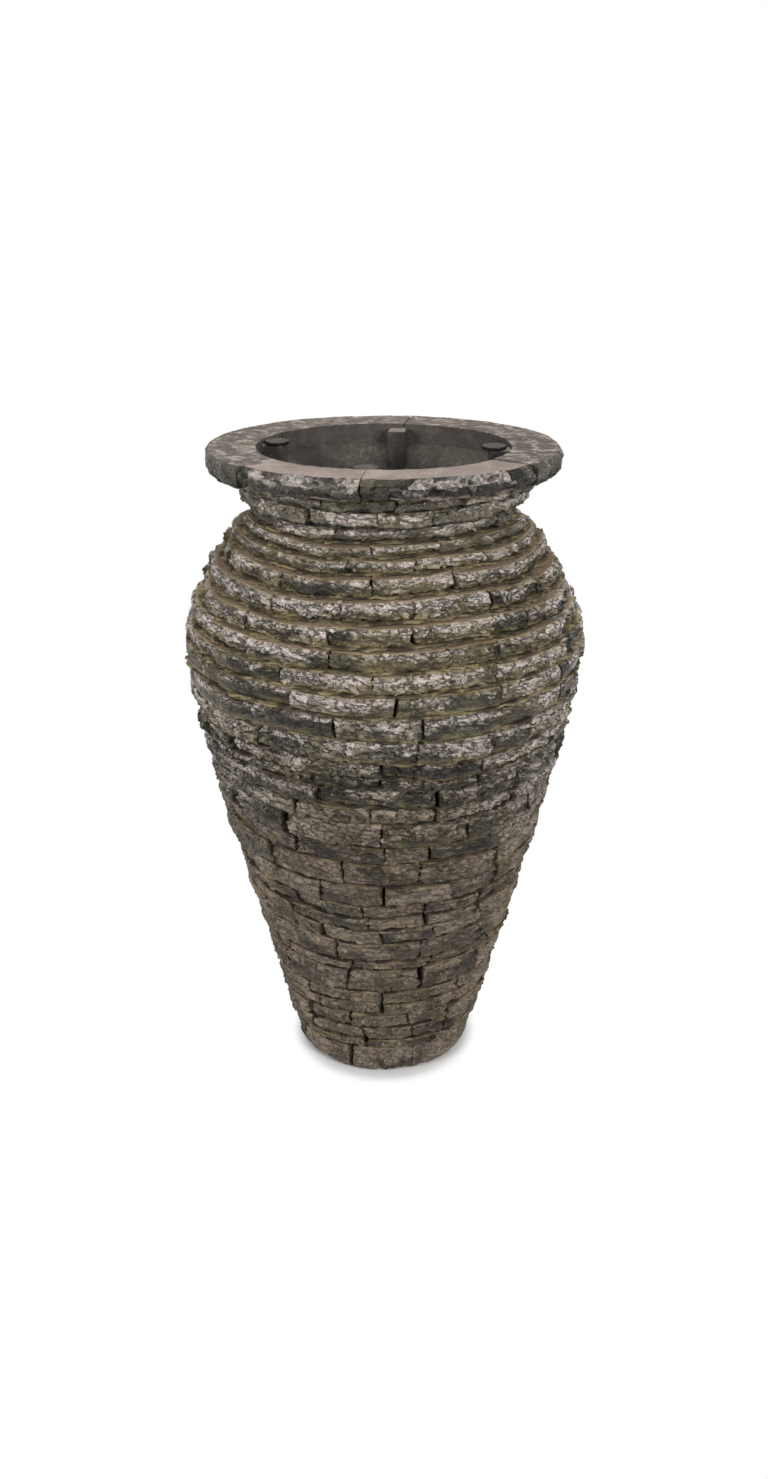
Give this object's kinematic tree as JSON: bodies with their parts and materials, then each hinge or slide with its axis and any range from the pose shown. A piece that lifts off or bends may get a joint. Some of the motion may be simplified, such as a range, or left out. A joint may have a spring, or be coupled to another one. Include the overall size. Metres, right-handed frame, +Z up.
{
  "type": "stacked slate urn vase",
  "caption": "Tall open garden urn of stacked slate stones in courses round a cast liner, with a flat coping of slabs and padded ribs inside the mouth.",
  "frame": {"origin": "centre of the foot, on the ground", "axes": "+Z up along the axis of the urn, -Y towards the front, +X to the right seen from the front"},
  "size_m": [0.4939, 0.4936, 0.81],
  "materials": {
    "slate": "satin",
    "coping_stone": "matte",
    "cement": "matte",
    "mortar": "matte",
    "pad_rubber": "matte"
  },
  "bodies": {
    "root": {"liner_base": "cement", "liner_lower_ring": "cement", "liner_body_ring": "cement", "liner_shoulder_ring": "cement", "liner_neck_ring": "cement", "liner_mouth_ring": "cement", "mortar_bed": "mortar", "stone_course_01": "slate", "stone_course_02": "slate", "stone_course_03": "slate", "stone_course_04": "slate", "stone_course_05": "slate", "stone_course_06": "slate", "stone_course_07": "slate", "stone_course_08": "slate", "stone_course_09": "slate", "stone_course_10": "slate", "stone_course_11": "slate", "stone_course_12": "slate", "stone_course_13": "slate", "stone_course_14": "slate", "stone_course_15": "slate", "stone_course_16": "slate", "stone_course_17": "slate", "stone_course_18": "slate", "stone_course_19": "slate", "stone_course_20": "slate", "stone_course_21": "slate", "stone_course_22": "slate", "stone_course_23": "slate", "stone_course_24": "slate", "stone_course_25": "slate", "stone_course_26": "slate", "stone_course_27": "slate", "stone_course_28": "slate", "stone_course_29": "slate", "stone_course_30": "slate", "stone_course_31": "slate", "stone_course_32": "slate", "stone_course_33": "slate", "coping_slab_1": "coping_stone", "coping_slab_2": "coping_stone", "coping_slab_3": "coping_stone", "coping_slab_4": "coping_stone", "coping_slab_5": "coping_stone", "coping_slab_6": "coping_stone", "support_ribs": "cement", "rubber_pads": "pad_rubber"}
  },
  "joints": []
}
